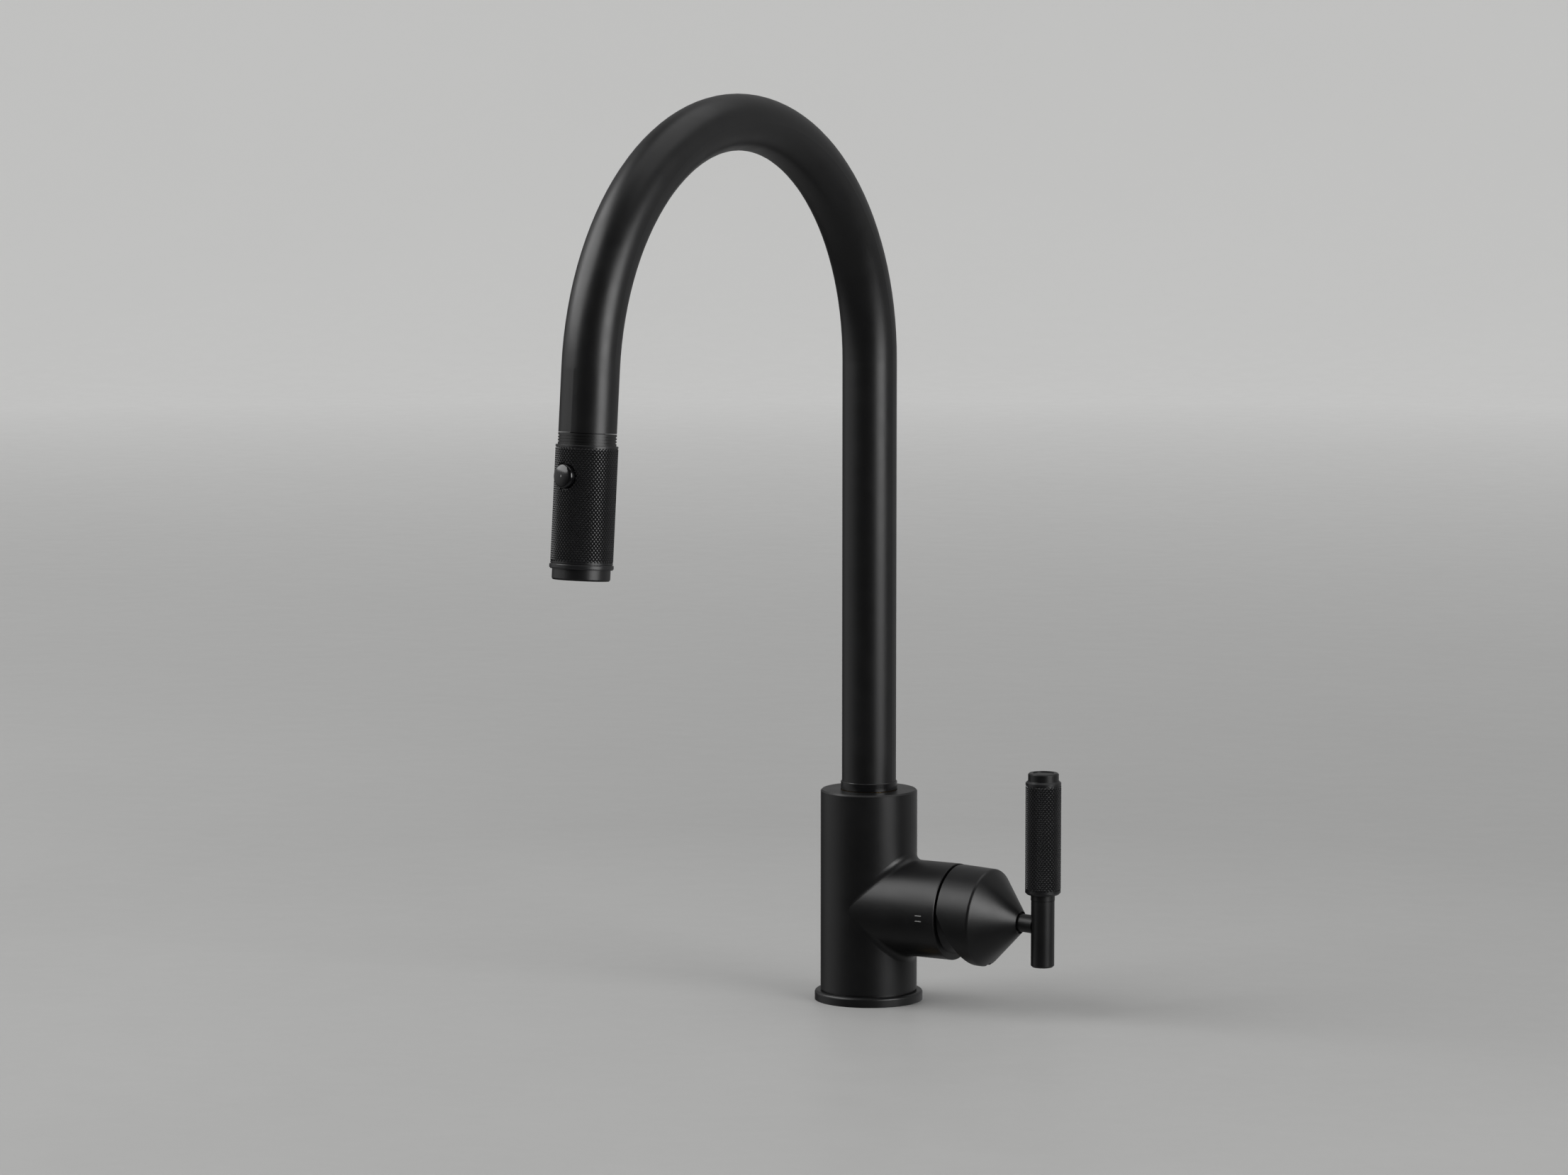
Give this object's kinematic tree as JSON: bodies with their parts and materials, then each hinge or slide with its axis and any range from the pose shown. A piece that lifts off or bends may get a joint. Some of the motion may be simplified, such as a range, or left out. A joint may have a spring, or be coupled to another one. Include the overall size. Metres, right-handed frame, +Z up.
{
  "type": "pull-down kitchen mixer tap",
  "caption": "Deck-mounted single-lever mixer tap with a swivelling gooseneck spout, a knurled pull-down spray head with a button, and a knurled lever rod on a side branch.",
  "frame": {"origin": "centre of the tap hole, on the worktop's top face", "axes": "+Z up, +X along the lever branch, -Y the way the spout reaches over the sink"},
  "size_m": [0.1411, 0.3029, 0.531],
  "materials": {
    "satin_black": "satin",
    "knurled_black": "satin",
    "gloss_black": "glossy",
    "black_plastic": "matte",
    "brass": "machined",
    "steel": "machined",
    "rubber": "matte",
    "ceramic": "polished",
    "nylon": "matte",
    "hose_braid": "woven"
  },
  "bodies": {
    "tap_body": {"base_ring": "satin_black", "base_gasket": "rubber", "threaded_shank": "brass", "clamp_gasket": "rubber", "clamp_washer": "steel", "clamp_nut": "brass", "body_casting": "satin_black", "hose_guide": "nylon", "spout_stop_screw": "steel", "cartridge_base": "nylon", "cartridge_seals": "rubber", "fixed_disc": "ceramic", "cartridge_housing": "nylon", "cartridge_nut": "brass", "trim_dome": "black_plastic"},
    "spout": {"spout_tube": "satin_black", "spout_stem": "brass", "upper_glide_ring": "nylon", "lower_glide_ring": "nylon", "swivel_o_ring": "rubber", "spout_foot_ring": "gloss_black", "dock_insert": "black_plastic", "hose_in_spout": "hose_braid"},
    "spray_head": {"hose_tail": "hose_braid", "hose_ferrule": "steel", "docking_nose": "black_plastic", "dock_o_ring": "rubber", "check_valve": "nylon", "head_collar": "satin_black", "spray_sleeve": "knurled_black", "waterway_core": "black_plastic", "button_bezel": "black_plastic", "button_spring": "steel", "face_seal": "rubber", "spray_face": "black_plastic", "aerator": "black_plastic", "face_ring": "satin_black"},
    "button": {"spray_button": "gloss_black"},
    "diverter": {"diverter_plunger": "nylon"},
    "cartridge_turn": {"cartridge_rotor": "nylon", "pivot_pin": "steel"},
    "valve_disc": {"moving_disc": "ceramic", "disc_carrier": "nylon"},
    "lever": {"cartridge_stem": "steel", "lever_hub": "satin_black", "hub_set_screw": "steel", "hub_end_ring": "black_plastic", "neck_bar": "satin_black", "lever_rod": "satin_black", "grip_lock_ring": "satin_black", "knurled_grip": "knurled_black", "grip_cap": "satin_black"}
  },
  "joints": [
    {"name": "spout_swivel", "type": "hinge", "parent": "tap_body", "child": "spout", "pos_m": [0, 0, 0.11], "axis": [0, 0, 1], "range_deg": [-67.5, 72.5]},
    {"name": "head_pull_out", "type": "slide", "parent": "spout", "child": "spray_head", "axis": [-0.0038, -0.0871, -0.9962], "range_m": [0, 0.2], "deforming": ["hose_tail"]},
    {"name": "button_press", "type": "slide", "parent": "spray_head", "child": "button", "axis": [0.1992, 0.9762, -0.0861], "range_m": [0, 0.0015], "stiffness_N_per_m": 1500, "springref_m": -0.001, "deforming": ["button_spring"]},
    {"name": "diverter_shift", "type": "slide", "parent": "spray_head", "child": "diverter", "axis": [-0.0038, -0.0871, -0.9962], "range_m": [0, 0.0015]},
    {"name": "lever_turn", "type": "hinge", "parent": "tap_body", "child": "cartridge_turn", "pos_m": [0.04, 0, 0.05], "axis": [1, 0, 0], "range_deg": [-45, 45]},
    {"name": "lever_lift", "type": "hinge", "parent": "cartridge_turn", "child": "lever", "pos_m": [0.04, 0, 0.05], "axis": [0, 1, 0], "range_deg": [0, 20]},
    {"name": "disc_shift", "type": "slide", "parent": "cartridge_turn", "child": "valve_disc", "axis": [0, 0, 1], "range_m": [0, 0.0017]}
  ],
  "couplings": [
    {"joint": "diverter_shift", "follows": "button_press", "ratio": 1},
    {"joint": "disc_shift", "follows": "lever_lift", "m_per_rad": 0.004465}
  ]
}
